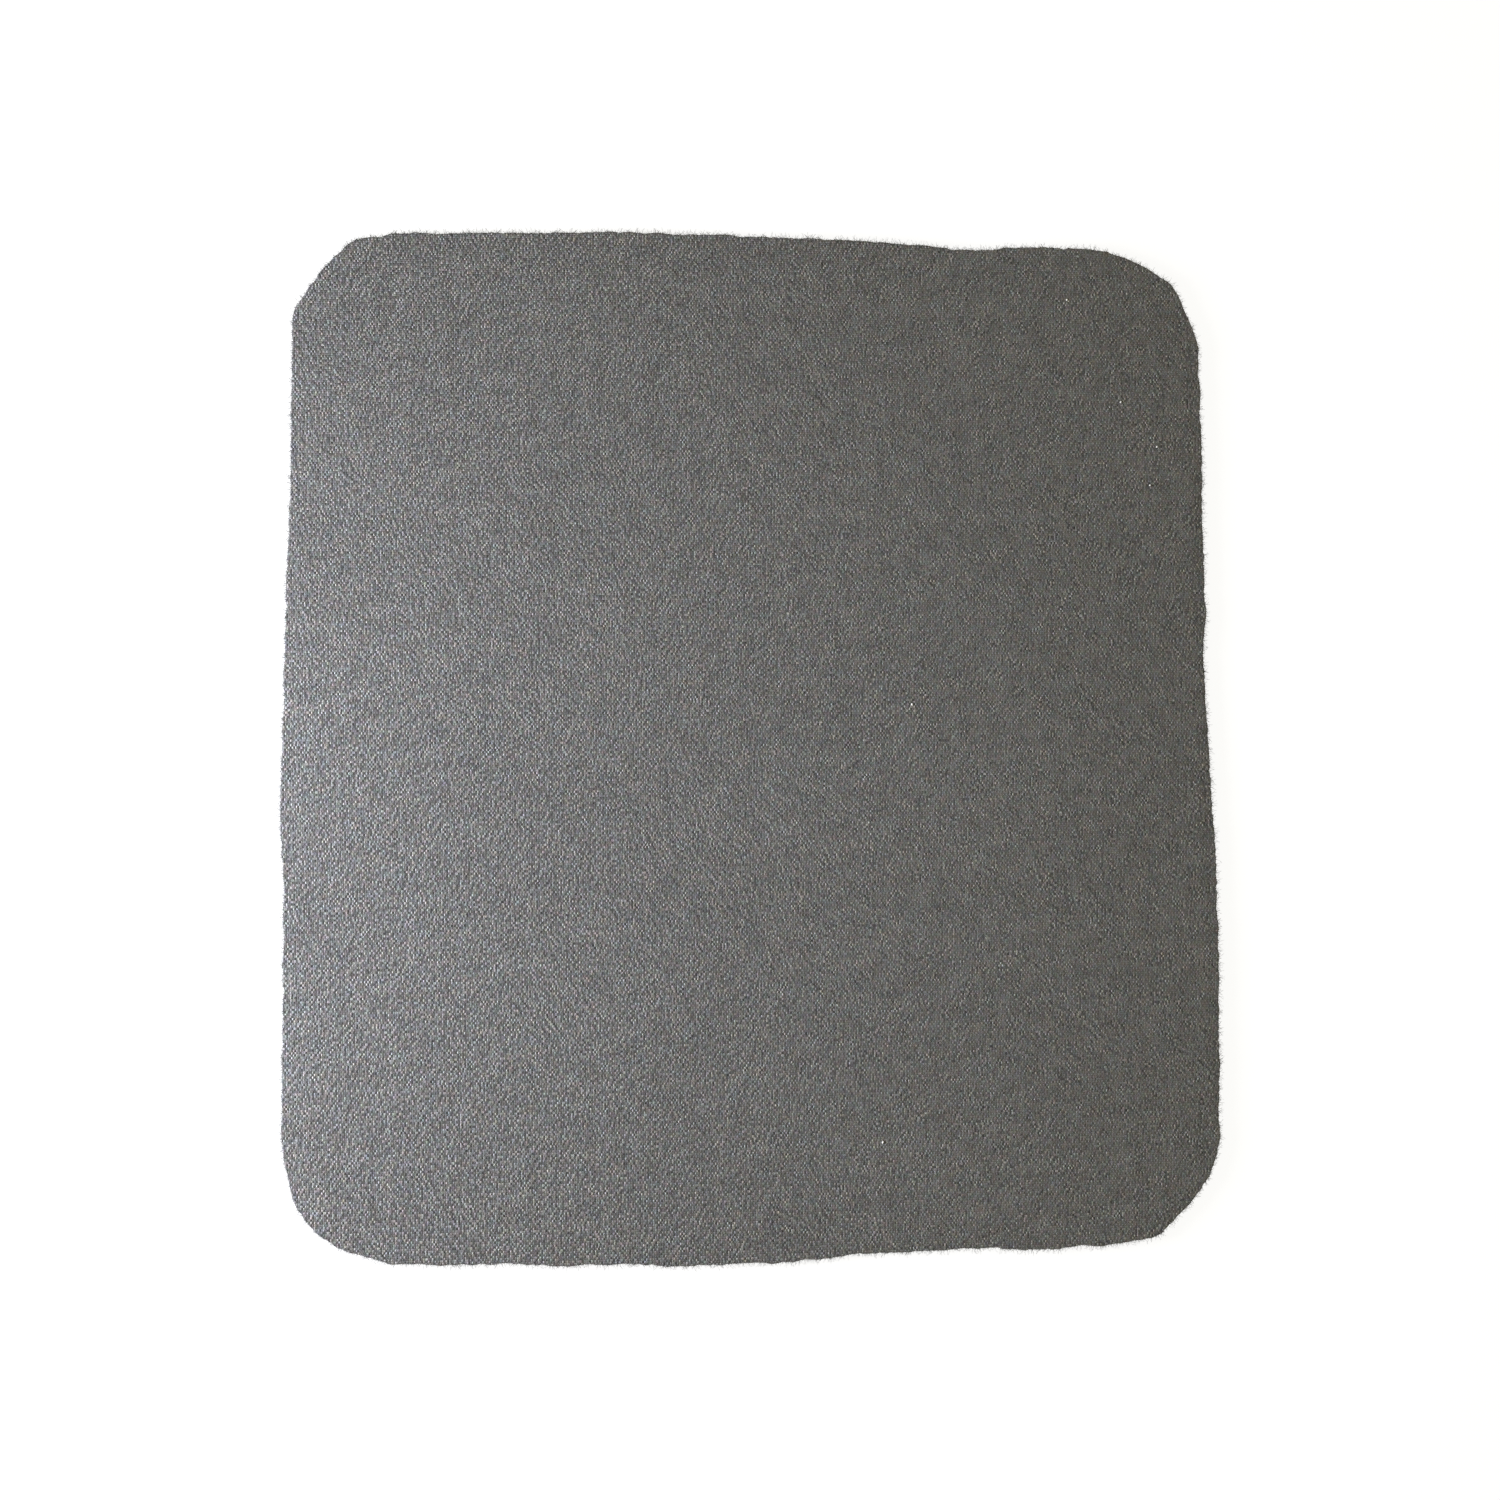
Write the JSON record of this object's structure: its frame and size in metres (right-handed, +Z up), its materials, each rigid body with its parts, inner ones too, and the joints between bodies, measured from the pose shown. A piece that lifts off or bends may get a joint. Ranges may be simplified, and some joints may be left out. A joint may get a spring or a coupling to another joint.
{
  "type": "mouse pad",
  "caption": "Soft rectangular mouse pad with round corners: woven cloth laminated to a foam rubber base that grips the desk.",
  "frame": {"origin": "on the desk, under the middle of the pad", "axes": "+Z is up out of the cloth, +Y points away from the user along the pad's longer side, +X points to the user's right along its shorter side"},
  "size_m": [0.2, 0.22, 0.003],
  "materials": {
    "foam_rubber": "matte",
    "glue_film": "satin",
    "woven_cloth": "matte"
  },
  "bodies": {
    "root": {"foam_base": "foam_rubber", "bonding_film": "glue_film", "top_cloth": "woven_cloth"}
  },
  "joints": []
}
